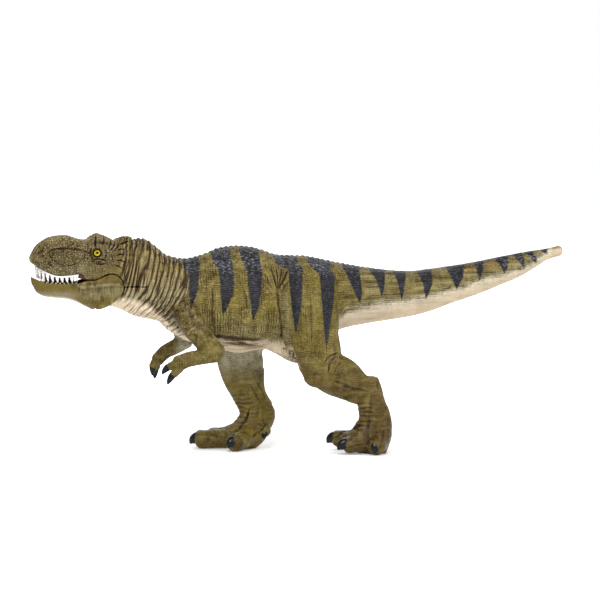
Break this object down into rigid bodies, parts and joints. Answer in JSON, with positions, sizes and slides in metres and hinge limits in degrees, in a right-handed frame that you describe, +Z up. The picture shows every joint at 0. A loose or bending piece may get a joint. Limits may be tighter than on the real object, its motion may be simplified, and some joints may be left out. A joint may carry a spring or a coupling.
{
  "type": "toy dinosaur figure",
  "caption": "Walking tyrannosaur toy figure with a lower jaw that hinges open on a pin; it stands on its two feet.",
  "frame": {"origin": "centre of the bounding box at the height of the soles", "axes": "+X from the snout to the tail, +Z up; the animal's left side faces -Y"},
  "size_m": [0.3046, 0.0724, 0.1232],
  "materials": {
    "skin": "painted soft plastic, satin",
    "teeth": "painted white, semi-gloss",
    "pin": "plain drawn wire"
  },
  "bodies": {
    "figure": {"trunk": "skin", "tail": "skin", "head": "skin", "upper_teeth": "teeth", "jaw_pin": "pin", "left_leg": "skin", "right_leg": "skin", "left_arm": "skin", "right_arm": "skin"},
    "jaw": {"lower_jaw": "skin", "lower_teeth": "teeth"}
  },
  "joints": [
    {"name": "jaw_hinge", "type": "hinge", "parent": "figure", "child": "jaw", "pos_m": [-0.10929, -0.00197, 0.0943], "axis": [0, -1, 0], "range_deg": [0, 28]}
  ]
}
